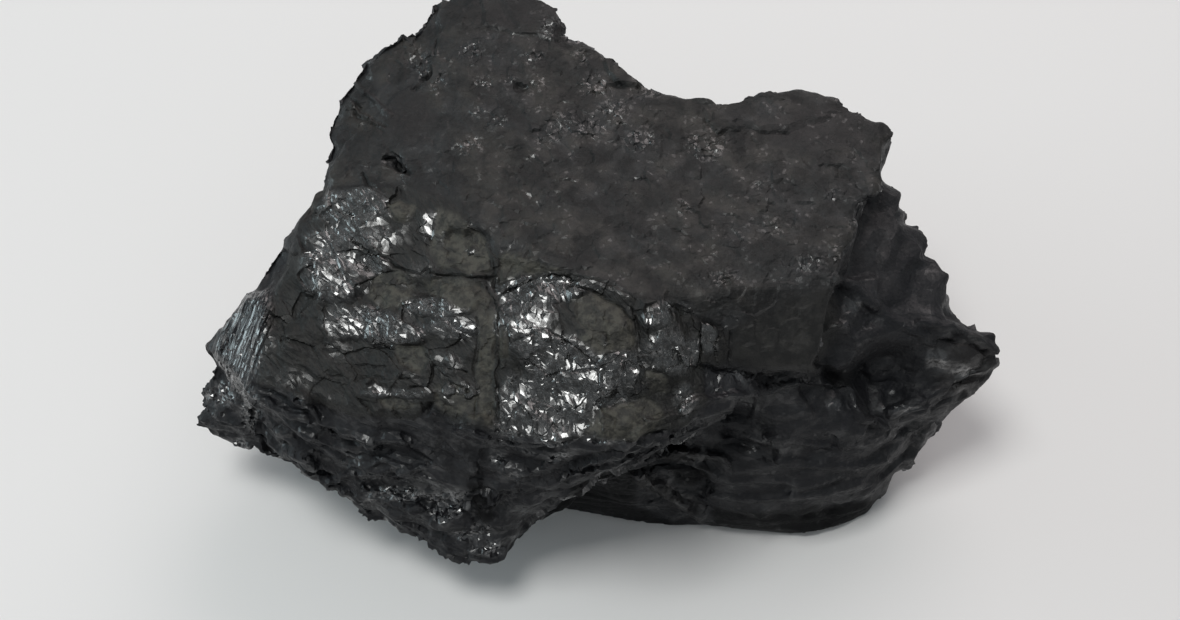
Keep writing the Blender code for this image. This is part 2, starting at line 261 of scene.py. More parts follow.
# Small shifts of the outline: picture place, reach in pixels, millimetres right and up in the picture
TRIMS = [
    ((270, 262), 42, (1.0, -0.5)), ((318, 150), 30, (1.1, 0.0)), ((432, 4), 22, (-0.8, 0.4)),
    ((580, 30), 26, (-1.7, -1.3)), ((564, 38), 16, (-0.8, -0.3)), ((612, 58), 18, (-0.4, -0.4)),
    ((880, 114), 22, (1.0, 0.7)), ((898, 172), 20, (-2.0, -0.9)), ((908, 198), 14, (-0.8, -0.3)),
    ((284, 222), 18, (0.8, -0.2)), ((250, 284), 20, (0.7, -0.4)), ((912, 212), 20, (-1.0, -0.3)),
    ((972, 318), 26, (-0.5, -0.9)), ((196, 398), 13, (0.9, 0.0)), ((199, 421), 12, (-0.9, -0.5)),
    ((214, 345), 24, (-1.1, 0.0)), ((886, 492), 20, (0.6, -0.2)), ((903, 216), 9, (-0.8, -0.2)),
    ((922, 228), 8, (0.5, 0.3)), ((930, 254), 9, (-0.8, -0.2)), ((948, 276), 9, (0.4, 0.3)),
    ((952, 306), 12, (-0.8, -0.3)), ((330, 122), 9, (-0.6, 0.0)), ((294, 199), 26, (1.7, -0.3)),
    ((530, 546), 26, (-1.3, 0.3)), ((726, 98), 34, (0.0, -0.7)), ((650, 84), 26, (0.0, -0.4)),
    ((796, 82), 30, (0.0, -0.5)), ((232, 462), 18, (0.2, 0.5)), ((896, 193), 18, (0.7, 0.1)),
    ((909, 220), 12, (-0.6, 0.0)), ((921, 239), 17, (0.8, 0.0)), ((956, 312), 15, (-0.6, -0.5)),
    ((990, 336), 12, (0.7, 0.4)), ((878, 128), 18, (0.5, 1.0)), ((862, 118), 16, (0.2, 0.7)),
    ((888, 136), 14, (0.5, 0.2)), ((893, 152), 12, (-0.7, 0.0)),
]

# Glossy slope, and the ovals on the lump where bright coal shines
GLOSS_OUTLINE = [
    (330, 188), (400, 187), (440, 194), (470, 212), (497, 250), (560, 266), (614, 281), (640, 297),
    (672, 300), (702, 318), (728, 330), (728, 362), (703, 366), (706, 402), (690, 424), (620, 441),
    (560, 440), (491, 432), (460, 424), (429, 404), (410, 420), (359, 416), (300, 398), (258, 384),
    (268, 300), (298, 240),
]
SHINE_SPOTS = [
    ((354, 206), (34, 22)), ((352, 236), (44, 12)), ((325, 268), (26, 22)), ((364, 264), (22, 14)),
    ((334, 288), (30, 12)), ((362, 322), (38, 16)), ((395, 340), (22, 9)), ((414, 334), (14, 9)),
    ((436, 306), (34, 12)), ((452, 328), (26, 10)), ((434, 224), (14, 14)), ((474, 262), (9, 14)),
    ((540, 288), (44, 16)), ((524, 320), (34, 22)), ((540, 352), (22, 26)), ((560, 372), (20, 40)),
    ((530, 402), (36, 28)), ((575, 405), (18, 30)), ((616, 366), (26, 20)), ((596, 392), (22, 12)),
    ((656, 318), (14, 12)), ((676, 304), (14, 8)), ((672, 352), (26, 22)), ((708, 336), (10, 18)),
    ((684, 400), (10, 16)), ((398, 393), (34, 5)), ((458, 394), (18, 10)), ((604, 440), (18, 5)),
    ((548, 440), (16, 6)), ((742, 381), (9, 4)), ((520, 300), (24, 28)), ((586, 382), (46, 30)),
    ((604, 352), (24, 10)), ((556, 426), (48, 12)), ((520, 424), (28, 16)), ((545, 345), (40, 14)),
    ((396, 494), (32, 7)), ((448, 506), (22, 14)), ((499, 468), (8, 5)), ((559, 465), (8, 5)),
    ((517, 485), (7, 5)), ((490, 550), (18, 8)), ((470, 536), (22, 5)), ((938, 360), (12, 12)),
    ((962, 370), (12, 8)), ((852, 306), (10, 6)), ((826, 317), (8, 5)), ((902, 408), (20, 5)),
    ((836, 405), (9, 5)), ((222, 396), (16, 12)), ((250, 410), (8, 20)), ((240, 448), (10, 8)),
]
# Ovals on the slab where flakes sparkle
SPARKLE_SPOTS = [
    ((420, 56), (12, 16)), ((441, 84), (8, 14)), ((470, 50), (14, 8)), ((488, 81), (12, 8)),
    ((509, 81), (6, 5)), ((534, 57), (13, 7)), ((537, 80), (7, 6)), ((530, 89), (6, 6)),
    ((581, 56), (10, 8)), ((594, 85), (20, 10)), ((476, 114), (9, 5)), ((501, 122), (8, 7)),
    ((536, 109), (6, 4)), ((469, 145), (15, 10)), ((708, 145), (20, 16)), ((684, 207), (5, 10)),
    ((810, 264), (14, 9)), ((718, 278), (16, 8)), ((842, 254), (16, 10)), ((852, 222), (5, 4)),
    ((402, 176), (6, 4)), ((366, 165), (5, 4)), ((590, 128), (18, 12)), ((648, 90), (14, 10)),
    ((772, 228), (9, 7)), ((854, 156), (4, 4)), ((760, 184), (5, 5)), ((835, 195), (6, 6)),
    ((549, 28), (9, 11)), ((614, 110), (16, 14)), ((640, 140), (18, 12)), ((560, 120), (14, 10)),
    ((548, 136), (12, 8)),
]
# Striated facet: its outline, the direction across its grooves in the picture, and their turn in space
STRIATED_OUTLINE = [
    (250, 292), (268, 290), (268, 330), (256, 372), (250, 402), (236, 400), (226, 376), (212, 350),
    (226, 322),
]
STRIATION_ACROSS = np.array([0.94, 0.34])
STRIATION_TURN = (0.0, math.radians(34.0), math.radians(-114.0))
# Bevelled front right corner of the slab
SLAB_FRONT_OUTLINE = [(732, 326), (780, 300), (832, 284), (838, 322), (816, 374), (760, 372), (728, 364)]
# Terrace, nose and front right face, whose relief is calmer
CALM_OUTLINES = [
    [(832, 262), (884, 180), (950, 270), (952, 315), (1000, 345), (990, 392), (905, 425), (850, 420),
     (812, 372)],
    [(740, 384), (820, 384), (900, 434), (930, 440), (890, 500), (860, 534), (720, 534), (706, 500),
     (716, 462), (700, 424)],
]
# Smooth ovals, with little relief and a dull black colour
SMOOTH_SPOTS = [
    ((412, 118), (26, 28)), ((820, 128), (64, 22)), ((520, 14), (40, 20)), ((290, 285), (20, 20)),
    ((556, 24), (14, 18)), ((966, 366), (34, 30)), ((645, 481), (11, 8)), ((662, 490), (12, 8)),
    ((680, 500), (12, 8)), ((695, 510), (9, 8)), ((690, 457), (34, 6)),
]
# Ovals along the outline where the sides' relief is held back
QUIET_SPOTS = [
    ((902, 210), (30, 52)), ((940, 285), (22, 40)), ((988, 348), (26, 34)), ((886, 164), (20, 24)),
    ((262, 268), (34, 44)), ((298, 200), (24, 36)), ((326, 130), (14, 30)),
]
# Lower part of the glossy slope, where thin beds feather out
FEATHER_OUTLINE = [
    (262, 330), (300, 322), (340, 335), (380, 350), (470, 352), (480, 424), (430, 404), (410, 420),
    (359, 416), (300, 398), (258, 384),
]

# Stepped ground: outline, fade in pixels, and the shift inside it in millimetres along X, Y and Z
STEPS = [
    ([(471, 482), (484, 504), (495, 519), (509, 507), (531, 497), (561, 478), (588, 472), (600, 455),
      (540, 452), (480, 452)], 12.0, (0.0, 1.2, 0.0)),
    ([(460, 496), (474, 492), (482, 514), (486, 528), (466, 526)], 10.0, (0.0, 1.1, 0.0)),
    ([(693, 366), (734, 374), (770, 378), (766, 386), (720, 384), (694, 380)], 5.0, (0.0, 0.8, 0.0)),
    ([(705, 112), (719, 135), (748, 127), (787, 131), (840, 112), (830, 84), (760, 80), (730, 92)], 8.0,
     (0.0, 0.0, 0.30)),
    ([(604, 64), (616, 85), (642, 86), (650, 70), (620, 52)], 4.0, (0.0, 0.0, 0.55)),
    ([(437, -10), (440, 20), (434, 40), (428, 72), (400, 92), (300, 190), (280, 120), (360, 40)], 5.0,
     (0.0, 0.0, -0.7)),
    ([(480, -10), (484, 24), (520, 34), (556, 40), (575, 20), (560, -10)], 4.0, (0.0, 0.0, 0.30)),
    ([(264, 264), (270, 250), (310, 258), (316, 300), (300, 330), (270, 330)], 10.0, (0.3, 0.6, -0.5)),
]

# Cracks: route, half width in pixels, depth in millimetres
CRACKS = [
    ([(352, 238), (364, 247), (386, 259), (394, 266), (420, 274), (428, 268)], 3.2, 0.8),
    ([(328, 246), (334, 258), (341, 270), (358, 290), (366, 300), (378, 310)], 4.2, 0.8),
    ([(432, 270), (452, 278), (475, 279), (497, 277)], 2.6, 0.6),
    ([(472, 228), (486, 238), (494, 262), (496, 290), (499, 330), (498, 380), (497, 432)], 2.4, 0.4),
    ([(476, 318), (474, 360), (476, 424)], 2.2, 0.3),
    ([(497, 298), (507, 290), (520, 284), (540, 275), (552, 273), (576, 279)], 2.8, 0.6),
    ([(571, 282), (590, 291), (610, 300), (634, 319)], 2.4, 0.5),
    ([(574, 274), (614, 283), (638, 300)], 2.4, 0.35),
    ([(634, 309), (638, 324), (638, 357), (643, 390)], 2.8, 0.5),
    ([(540, 380), (559, 372), (598, 369), (624, 355)], 2.6, 0.5),
    ([(514, 343), (545, 327), (574, 345), (584, 352), (595, 364)], 2.6, 0.5),
    ([(699, 320), (700, 345), (698, 364)], 2.6, 0.5),
    ([(729, 332), (730, 364)], 2.2, 0.4),
    ([(667, 300), (676, 306), (691, 314), (706, 320), (722, 326)], 4.5, 1.2),
    ([(698, 363), (726, 371), (760, 374), (806, 375)], 2.8, 0.7),
    ([(332, 378), (375, 378), (411, 377)], 2.6, 0.5),
    ([(338, 366), (372, 368), (396, 364)], 2.0, 0.3),
    ([(411, 387), (432, 385), (434, 366), (467, 372)], 2.8, 0.6),
    ([(600, 400), (606, 414), (618, 420), (614, 436)], 2.2, 0.35),
    ([(572, 318), (590, 330), (606, 332), (612, 350)], 2.0, 0.25),
    ([(940, 338), (958, 342), (974, 347), (985, 352)], 2.8, 0.7),
    ([(252, 412), (258, 430), (264, 448), (286, 466), (304, 478)], 5.0, 1.2),
    ([(818, 364), (832, 378), (842, 386)], 6.0, 0.9),
    ([(868, 202), (850, 240), (834, 266), (830, 284)], 3.0, 0.5),
    ([(422, 404), (426, 412), (432, 402)], 4.5, 1.0),
    ([(430, 418), (450, 424), (474, 432), (500, 440), (560, 450)], 4.0, 0.5),
    ([(560, 484), (600, 474), (632, 464), (664, 440)], 3.4, 0.35),
    ([(900, 420), (930, 408), (965, 392)], 3.0, 0.5),
    ([(445, 12), (437, 38), (432, 60), (427, 74), (414, 88)], 3.4, 0.8),
    ([(513, 84), (520, 90), (530, 84)], 3.6, 0.5),
    ([(705, 118), (719, 136), (748, 129), (787, 133)], 2.2, 0.35),
    ([(606, 86), (620, 86), (640, 88)], 2.8, 0.5),
    ([(760, 203), (774, 203)], 2.4, 0.35), ([(798, 203), (812, 203)], 2.2, 0.3),
    ([(676, 228), (690, 236)], 2.6, 0.35), ([(420, 172), (438, 170)], 2.2, 0.3),
    ([(540, 170), (560, 170)], 2.0, 0.25), ([(348, 96), (362, 112), (384, 128)], 3.0, 0.4),
    ([(354, 112), (368, 124), (382, 132)], 2.6, 0.35), ([(362, 176), (368, 186), (376, 190)], 3.0, 0.6),
    ([(386, 161), (394, 160), (402, 168), (409, 172)], 4.0, 0.9),
    ([(304, 410), (318, 424), (336, 436)], 3.4, 0.6), ([(346, 452), (372, 458), (392, 452)], 3.0, 0.5),
    ([(404, 436), (412, 452), (430, 462)], 3.4, 0.6), ([(384, 476), (404, 480), (420, 476)], 3.0, 0.5),
]

# Hollows where shade falls: their colour is darkened with painted shade, and their walls never shine
PAINTED_SHADE_OUTLINES = [
    [(540, 522), (575, 490), (600, 476), (634, 468), (638, 500), (620, 524), (590, 512)],
    [(606, 505), (640, 513), (668, 521), (704, 525), (706, 534), (610, 530)],
    [(664, 467), (706, 467), (710, 478), (694, 489), (678, 482)],
    [(712, 506), (760, 514), (860, 502), (884, 500), (856, 540), (716, 536)],
    [(820, 366), (850, 370), (852, 388), (830, 386)],
    [(466, 484), (482, 486), (494, 520), (480, 528)],
]

# Raised ridges and lips: route, half width in pixels, height in millimetres
RIDGES = [
    ([(258, 424), (267, 439), (277, 445), (291, 453), (305, 458), (317, 467), (324, 478), (332, 488)],
     5.0, 1.0),
    ([(260, 399), (277, 408), (293, 415), (306, 417)], 5.0, 0.6),
    ([(306, 404), (318, 418), (332, 431), (354, 436), (380, 446)], 5.0, 0.7),
    ([(332, 480), (350, 472), (371, 470), (392, 474), (410, 470)], 5.0, 0.7),
    ([(346, 463), (367, 466), (388, 460), (405, 467), (424, 466)], 4.0, 0.5),
    ([(338, 446), (360, 446), (386, 438), (410, 442)], 5.0, 0.5),
    ([(300, 430), (320, 442), (340, 458)], 5.0, 0.5),
    ([(366, 487), (384, 492), (402, 497), (419, 500)], 4.0, 0.6),
    ([(446, 446), (466, 456), (478, 480)], 6.0, 0.6),
    ([(890, 412), (920, 400), (962, 379), (995, 358)], 7.0, 0.8),
    ([(804, 380), (822, 380), (840, 385), (852, 400), (864, 418), (884, 426)], 5.0, 0.9),
    ([(834, 280), (856, 288), (872, 306), (890, 316), (912, 328), (932, 340)], 7.0, 0.6),
    ([(920, 322), (948, 326), (975, 338), (996, 350)], 6.0, 0.7),
    ([(560, 478), (588, 472), (620, 462), (659, 444), (704, 423)], 4.0, 0.6),
    ([(572, 468), (600, 460), (632, 450), (668, 432)], 3.6, 0.4),
    ([(632, 462), (653, 455), (689, 452), (720, 456), (728, 462)], 6.0, 0.8),
    ([(635, 472), (650, 482), (668, 494), (690, 506), (701, 516)], 7.0, 0.9),
    ([(598, 368), (610, 358), (626, 356), (640, 370)], 4.0, 0.4),
    ([(794, 382), (760, 390), (700, 402), (648, 424), (618, 452)], 6.0, 0.7),
    ([(752, 384), (760, 400), (752, 420)], 6.0, 0.4),
    ([(736, 470), (790, 462), (850, 468), (886, 460)], 7.0, 0.5),
    ([(720, 436), (780, 440), (840, 446), (900, 436)], 6.0, 0.4),
    ([(712, 496), (760, 498), (820, 494), (860, 484)], 5.0, 0.5),
    ([(356, 84), (372, 98), (390, 116)], 4.0, 0.4), ([(350, 104), (364, 116), (378, 128)], 3.0, 0.3),
]

# Knobs and dents: middle, radii in pixels, height in millimetres
SWELLS = [
    ((443, 516), (24, 15), 1.5), ((416, 510), (10, 8), 0.8), ((560, 330), (70, 60), 0.35),
    ((394, 288), (26, 18), 0.35), ((458, 294), (32, 16), 0.35), ((604, 326), (32, 28), 0.3),
    ((630, 420), (40, 20), 0.3), ((504, 344), (8, 18), 0.35), ((398, 211), (14, 9), 0.3),
    ((398, 166), (7, 5), -0.9), ((960, 362), (26, 16), 0.5), ((330, 350), (40, 22), -0.4),
    ((520, 88), (8, 5), -0.45), ((344, 492), (6, 5), 0.6), ((374, 496), (6, 5), 0.5),
    ((300, 400), (16, 10), 0.5), ((286, 432), (12, 8), 0.5), ((896, 398), (18, 12), -0.5),
    ((828, 374), (12, 8), -0.6),
]

# Smooth brownish patches on the glossy slope
MATTE_PATCHES = [
    [(435, 223), (440, 206), (458, 214), (486, 240), (492, 272), (471, 276), (439, 265), (430, 246)],
    [(422, 276), (452, 280), (482, 285), (490, 299), (484, 312), (462, 310), (441, 299), (426, 287)],
    [(371, 280), (381, 272), (400, 270), (416, 278), (413, 295), (398, 306), (381, 309), (369, 295)],
    [(392, 344), (424, 346), (430, 360), (420, 372), (400, 362)],
    [(386, 204), (400, 201), (418, 207), (412, 218), (396, 221)],
    [(574, 297), (595, 294), (614, 302), (634, 320), (634, 345), (614, 355), (595, 352), (578, 336)],
    [(583, 429), (605, 408), (648, 398), (662, 410), (656, 430), (640, 440), (600, 441)],
    [(435, 386), (455, 385), (477, 392), (480, 421), (452, 412), (436, 402)],
    [(379, 399), (400, 398), (416, 404), (404, 410), (384, 407)],
    [(502, 252), (530, 256), (564, 268), (544, 270), (512, 276), (500, 284)],
    [(477, 312), (495, 312), (494, 428), (478, 420)],
    [(646, 372), (668, 374), (668, 392), (652, 396)],
    [(500, 326), (508, 325), (512, 344), (508, 360), (500, 360)],
]


# ---------------------------------------------------------------- skin


class Skin:
    """A mesh and its points in millimetres, moved by one formula after another."""

    def __init__(self, mesh):
        self.mesh = mesh
        self.points = self.read(mesh.vertices, "co") / MM
        self.normals = self.read(mesh.vertex_normals, "vector")

    @staticmethod
    def read(collection, name):
        """One three-part value of every item, as rows."""
        values = np.empty(len(collection) * 3)
        collection.foreach_get(name, values)
        return values.reshape(-1, 3)

    def move(self, shift):
        """Moves every point by its row of shift, in millimetres, and brings the normals up to date."""
        self.points += shift
        self.mesh.vertices.foreach_set("co", (self.points * MM).ravel())
        self.mesh.update()
        self.normals = self.read(self.mesh.vertex_normals, "vector")

    def lift(self, height):
        """Moves every point along its normal."""
        self.move(self.normals * height[:, None])

    def keep(self, shares):
        """Stores each named share on the points, where cuts and thinning carry it along."""
        for name, values in shares.items():
            stored = self.mesh.attributes.get(name) or self.mesh.attributes.new(name, "FLOAT", "POINT")
            stored.data.foreach_set("value", values.astype(np.float32))

    def share(self, name):
        """The share stored under that name, one value to a point."""
        values = np.empty(len(self.mesh.vertices), np.float32)
        self.mesh.attributes[name].data.foreach_get("value", values)
        return values.astype(float)

    def cut_finer(self, chosen):
        """Cuts every edge between two chosen points in half, and the faces there to suit."""
        finer = bmesh.new()
        finer.from_mesh(self.mesh)
        edges = [edge for edge in finer.edges if all(chosen[vert.index] for vert in edge.verts)]
        bmesh.ops.subdivide_edges(finer, edges=edges, cuts=1, use_grid_fill=True)
        finer.to_mesh(self.mesh)
        finer.free()
        self.points = self.read(self.mesh.vertices, "co") / MM
        self.normals = self.read(self.mesh.vertex_normals, "vector")


def applied(thing, name):
    """A new mesh with the object's modifiers applied, and the object removed."""
    graph = bpy.context.evaluated_depsgraph_get()
    mesh = bpy.data.meshes.new_from_object(thing.evaluated_get(graph))
    mesh.name = name
    bpy.data.objects.remove(thing)
    return mesh


def holder_of(mesh):
    """An object that holds the mesh while modifiers work on it."""
    thing = bpy.data.objects.new("holder", mesh)
    bpy.context.scene.collection.objects.link(thing)
    return thing


def filled_out(mesh):
    """A copy of the solid's mesh, its doubles merged, with the fills added as convex hulls."""
    made = bmesh.new()
    made.from_mesh(mesh)
    bmesh.ops.remove_doubles(made, verts=made.verts, dist=1e-6)
    fills = [[on_level(corner[:2], corner[2]) for corner in corners] for corners in FILLS.values()]
    for corners in fills + [np.array(POCKET)]:
        points = [made.verts.new(corner * MM) for corner in corners]
        hull = bmesh.ops.convex_hull(made, input=points)
        spare = [item for item in hull["geom_interior"] if isinstance(item, bmesh.types.BMVert)]
        bmesh.ops.delete(made, geom=spare, context="VERTS")
    filled = bpy.data.meshes.new("filled out")
    made.to_mesh(filled)
    made.free()
    return filled


def fine_copy(node):
    """The node's mesh, filled out, cut up finely by a voxel remesh and eased where its facets meet."""
    thing = holder_of(filled_out(node.data))
    remesh = thing.modifiers.new("fine", "REMESH")
    remesh.mode = "VOXEL"
    remesh.voxel_size = SKIN_VOXEL * MM
    ease = thing.modifiers.new("ease", "SMOOTH")
    ease.factor = 0.5
    ease.iterations = CREASE_SMOOTHING
    return applied(thing, "fine skin")


def thinned(mesh):
    """The same skin with fewer triangles, kept dense where it bends."""
    thing = holder_of(mesh)
    thin = thing.modifiers.new("thin", "DECIMATE")
    thin.use_collapse_triangulate = True
    thin.ratio = SKIN_TRIANGLES / (2.0 * len(mesh.polygons))
    return one_shell(applied(thing, "thin skin"))


def one_shell(mesh):
    """The mesh without triangles that hang by one edge, and without voids shut inside the lump."""
    shell = bmesh.new()
    shell.from_mesh(mesh)
    hanging = [face for face in shell.faces if any(len(edge.link_faces) == 1 for edge in face.edges)]
    bmesh.ops.delete(shell, geom=hanging, context="FACES")
    newest = {max(shell.verts, key=lambda vert: vert.co.z)}
    outside = set(newest)
    while newest:
        newest = {edge.other_vert(vert) for vert in newest for edge in vert.link_edges} - outside
        outside |= newest
    voids = [vert for vert in shell.verts if vert not in outside]
    bmesh.ops.delete(shell, geom=voids, context="VERTS")
    shell.to_mesh(mesh)
    shell.free()
    return mesh


def spot_share(places, spots):
    """1 inside each oval spot and 0 outside, eased between."""
    share = np.zeros(len(places))
    for middle, radii in spots:
        reach = np.linalg.norm((places - middle) / radii, axis=1)
        share = np.maximum(share, 1.0 - smooth_step(0.6, 1.3, reach))
    return share


def wandering(points):
    """Picture places of the points, shaken a little so that no drawn outline is smooth."""
    shake = 2.6 * np.stack([noise(points, 2.5, 111), noise(points, 2.5, 112)], axis=1)
    shake += 1.6 * np.stack([noise(points, 1.1, 113), noise(points, 1.1, 114)], axis=1)
    return picture_place(points) + shake


def regions(skin):
    """Shares from 0 to 1 that say which kind of surface each point has."""
    places = wandering(skin.points)
    height = skin.points[:, 2]
    facing = smooth_step(0.1, 0.3, skin.normals @ TOWARDS_CAMERA)
    high = facing * smooth_step(26.0, 30.0, height)
    gloss = high * inside_outline(places, GLOSS_OUTLINE, 6.0)
    front = high * inside_outline(places, SLAB_FRONT_OUTLINE, 16.0)
    stria = facing * smooth_step(20.0, 24.0, height) * inside_outline(places, STRIATED_OUTLINE, 8.0)
    top = (1.0 - gloss) * (1.0 - front)
    top *= smooth_step(0.45, 0.80, skin.normals[:, 2]) * smooth_step(37.5, 39.5, height)
    calm = facing * np.maximum(*[inside_outline(places, outline, 14.0) for outline in CALM_OUTLINES])
    smooth = facing * spot_share(places, SMOOTH_SPOTS)
    matte = np.zeros(len(places))
    for outline in MATTE_PATCHES:
        matte = np.maximum(matte, inside_outline(places, outline, 5.0))
    # Hollows where shade falls, later darkened with painted shade
    shade = facing * sum(inside_outline(places, outline, 8.0) for outline in PAINTED_SHADE_OUTLINES)
    matte *= gloss * smooth_step(-0.80, -0.45, layered_noise(skin.points, 1.3, 135, 2))
    sparkle = top * facing * spot_share(places, SPARKLE_SPOTS)
    hidden = (1.0 - facing) * smooth_step(0.10, 0.50, noise(skin.points, 6.0, 121))
    shine = np.maximum(facing * spot_share(places, SHINE_SPOTS), 0.7 * hidden)
    shine = np.clip(shine + 0.30 * (shine - 0.3) + 0.35 * layered_noise(skin.points, 3.0, 131), 0.0, 1.0)
    shine *= (1.0 - matte) * (1.0 - top) * (1.0 - front)
    side = np.clip(1.0 - gloss - top - front - stria, 0.0, 1.0) * (1.0 - 0.75 * calm)
    return {
        "facing": facing, "gloss": gloss, "top": top, "matte": matte, "side": side, "front": front,
        "stria": stria, "shine": shine, "sparkle": sparkle, "smooth": smooth, "calm": calm,
        "shade": np.minimum(shade, 1.0),
    }


def above_table(skin):
    """0 at the rest face and 1 a little above it."""
    return smooth_step(*FOOTING_FADE, skin.points[:, 2])


def turned_away(skin):
    """0 where the surface faces the camera and 1 where it is well turned away."""
    return smooth_step(0.0, 0.40, -(skin.normals @ TOWARDS_CAMERA))


def quietness(skin):
    """The share of the sides' relief that is kept: a quarter in the quiet spots and all of it elsewhere."""
    return 1.0 - 0.75 * spot_share(picture_place(skin.points), QUIET_SPOTS)


def trim_outline(skin):
    """Shifts the outline to right or left, up or down in the picture, by a share that fades with reach."""
    places = picture_place(skin.points)
    shift = np.zeros_like(skin.points)
    for middle, reach, (right, up) in TRIMS:
        share = 1.0 - smooth_step(0.0, 1.0, np.linalg.norm(places - middle, axis=1) / reach)
        shift += share[:, None] * (right * PICTURE_RIGHT + up * PICTURE_UP)
    skin.move(shift * above_table(skin)[:, None])


def bed_height(points):
    """Height across the wavy beds: they dip to the right in the front left face and lie level elsewhere."""
    wave = 1.3 * noise(points * (1.0, 1.0, 0.3), 13.0, 3) + 0.6 * noise(points, 5.0, 4)
    dip = 0.05 * points[:, 0] + 0.20 * np.minimum(points[:, 0] + 8.0, 0.0)
    return points[:, 2] + dip - 0.03 * points[:, 1] + wave


def add_beds(skin, side):
    """Thin beds on the sides: each stands out or lies back by a random amount that drifts along it."""
    height = bed_height(skin.points) / 1.9 + 0.4 * noise(skin.points, 3.0, 51)
    bed = np.floor(height)
    label = np.stack([bed * 5.3] * 3, axis=1)
    proud = noise(skin.points * (1.0, 1.0, 0.0) + label * 17.0, 5.0, 52)
    within = height - bed
    groove = 1.0 - smooth_step(0.0, 0.3, within) * smooth_step(0.0, 0.3, 1.0 - within)
    steep = smooth_step(0.15, 0.6, 1.0 - np.abs(skin.normals[:, 2]))
    patchy = smooth_step(-0.2, 0.5, noise(skin.points, 7.0, 53))
    skin.lift(side * steep * patchy * (0.35 * proud - 0.16 * groove))


def add_flow(skin, side):
    """Flowing fracture on the sides: crests and swells drawn out along the beds, and flat chips on them."""
    along = skin.points + 1.2 * np.stack([noise(skin.points, 6.0, 171 + i) for i in range(3)], axis=1)
    beds = np.stack([along[:, 0], along[:, 1], 2.0 * bed_height(along)], axis=1)
    relief = 0.55 * creases(beds, 7.0, 141) + 0.28 * creases(beds, 3.4, 142)
    relief += 0.16 * noise(skin.points, 3.0, 145)
    skin.lift(side * (relief - 0.8))
    chips = 0.16 * plates(beds * (0.6, 0.6, 0.7), 2.4, 151) + 0.12 * plates(skin.points, 1.5, 155)
    skin.lift(side * smooth_step(-0.6, 0.3, noise(skin.points, 9.0, 156)) * chips)


def add_steps(skin, facing):
    """Stepped ground on the visible side: what lies inside each outline is shifted as a whole."""
    places = wandering(skin.points)
    shift = np.zeros_like(skin.points)
    for outline, fade, step in STEPS:
        shift += (facing * inside_outline(places, outline, fade))[:, None] * np.array(step)
    skin.move(shift)


def add_swells(skin, facing):
    """Ridges along their routes and rounded knobs and dents on the visible side."""
    places = wandering(skin.points)
    lift = np.zeros(len(places))
    for route, width, height in RIDGES:
        lift += height * np.clip(1.0 - (route_distance(places, route) / width) ** 2, 0.0, 1.0) ** 2
    for middle, radii, height in SWELLS:
        reach = np.linalg.norm((places - middle) / radii, axis=1)
        lift += height * (1.0 - smooth_step(0.3, 1.1, reach))
    skin.lift(facing * lift)


def crack_depth(places, points):
    """Depth of the cracks in millimetres: deepest on each route, and broken by noise along it."""
    deep = np.zeros(len(places))
    for route, width, depth in CRACKS:
        gap = route_distance(places, route)
        deep = np.maximum(deep, 0.85 * depth * np.clip(1.0 - gap / (0.85 * width), 0.0, 1.0))
    for outline in MATTE_PATCHES:
        gap = route_distance(places, list(outline) + [outline[0]])
        broken = smooth_step(-0.1, 0.3, noise(points, 4.0, 182))
        deep = np.maximum(deep, 0.25 * broken * np.clip(1.0 - gap / 2.4, 0.0, 1.0))
    return deep * np.maximum(0.62 + 0.75 * noise(points, 1.7, 181), 0.0)


def add_hackle(skin, share, crinkle):
    """Glassy hackle: tilted plates drawn out along the streaks in three sizes, and fine crests on them."""
    right_of_strip = picture_place(skin.points)[:, 0] > STRIP_PIXEL
    streaky = np.where(right_of_strip[:, None], *[turned(skin.points, lean) for lean in STREAK_LEANS[::-1]])
    streaky += 0.35 * np.stack([noise(skin.points, 1.6, 191 + i) for i in range(3)], axis=1)
    skin.lift(share * 0.12 * plates(streaky * (0.5, 1.0, 1.0), 3.2, 61))
    relief = 0.30 * (creases(streaky * (0.5, 1.0, 1.0), 3.2, 97) - 0.6)
    relief += 0.11 * plates(streaky * (0.36, 1.0, 1.0), 1.4, 71)
    relief += 0.11 * plates(streaky * (0.30, 1.0, 1.0), 0.7, 81)
    relief += 0.08 * creases(streaky * (0.2, 1.0, 1.0), 0.7, 91)
    skin.lift(share * crinkle * relief)
    feather = share * inside_outline(wandering(skin.points), FEATHER_OUTLINE, 16.0)
    bands = np.stack([skin.points[:, 0], skin.points[:, 1], 2.0 * bed_height(skin.points)], axis=1)
    skin.lift(feather * (0.42 * creases(bands * (0.35, 1.0, 1.0), 2.6, 95) - 0.28))
    skin.lift(feather * 0.18 * creases(bands * (0.35, 1.0, 1.0), 1.3, 96))


def add_grain(skin, top, sparkle):
    """The dull slab's low relief: undulation, shallow plates and grains, and flakes where it sparkles."""
    relief = 0.14 * layered_noise(skin.points, 3.0, 98, 3) + 0.07 * plates(skin.points, 2.3, 101)
    relief += 0.12 * smooth_step(0.0, 0.5, noise(skin.points, 4.0, 99)) * plates(skin.points, 1.1, 105)
    skin.lift(top * relief)
    skin.lift(sparkle * 0.22 * plates(skin.points, 0.9, 109))


def add_striations(skin, stria):
    """Fine parallel grooves across the striated facet, by two waves across their direction."""
    across = picture_place(skin.points) @ STRIATION_ACROSS + 3.0 * noise(skin.points, 6.0, 161)
    wave = np.abs(np.sin(across * (math.pi / 7.5))) + 0.6 * np.abs(np.sin(across * (math.pi / 3.3)))
    skin.lift(stria * (0.19 * wave + 0.10 * plates(skin.points, 1.6, 165)))


def keep_footing(skin):
    """The rest face stays flat: its points lie in the plane, and none goes below it."""
    shift = np.zeros_like(skin.points)
    shift[:, 2] = np.maximum(skin.points[:, 2], 0.0) - skin.points[:, 2]
    skin.move(shift)


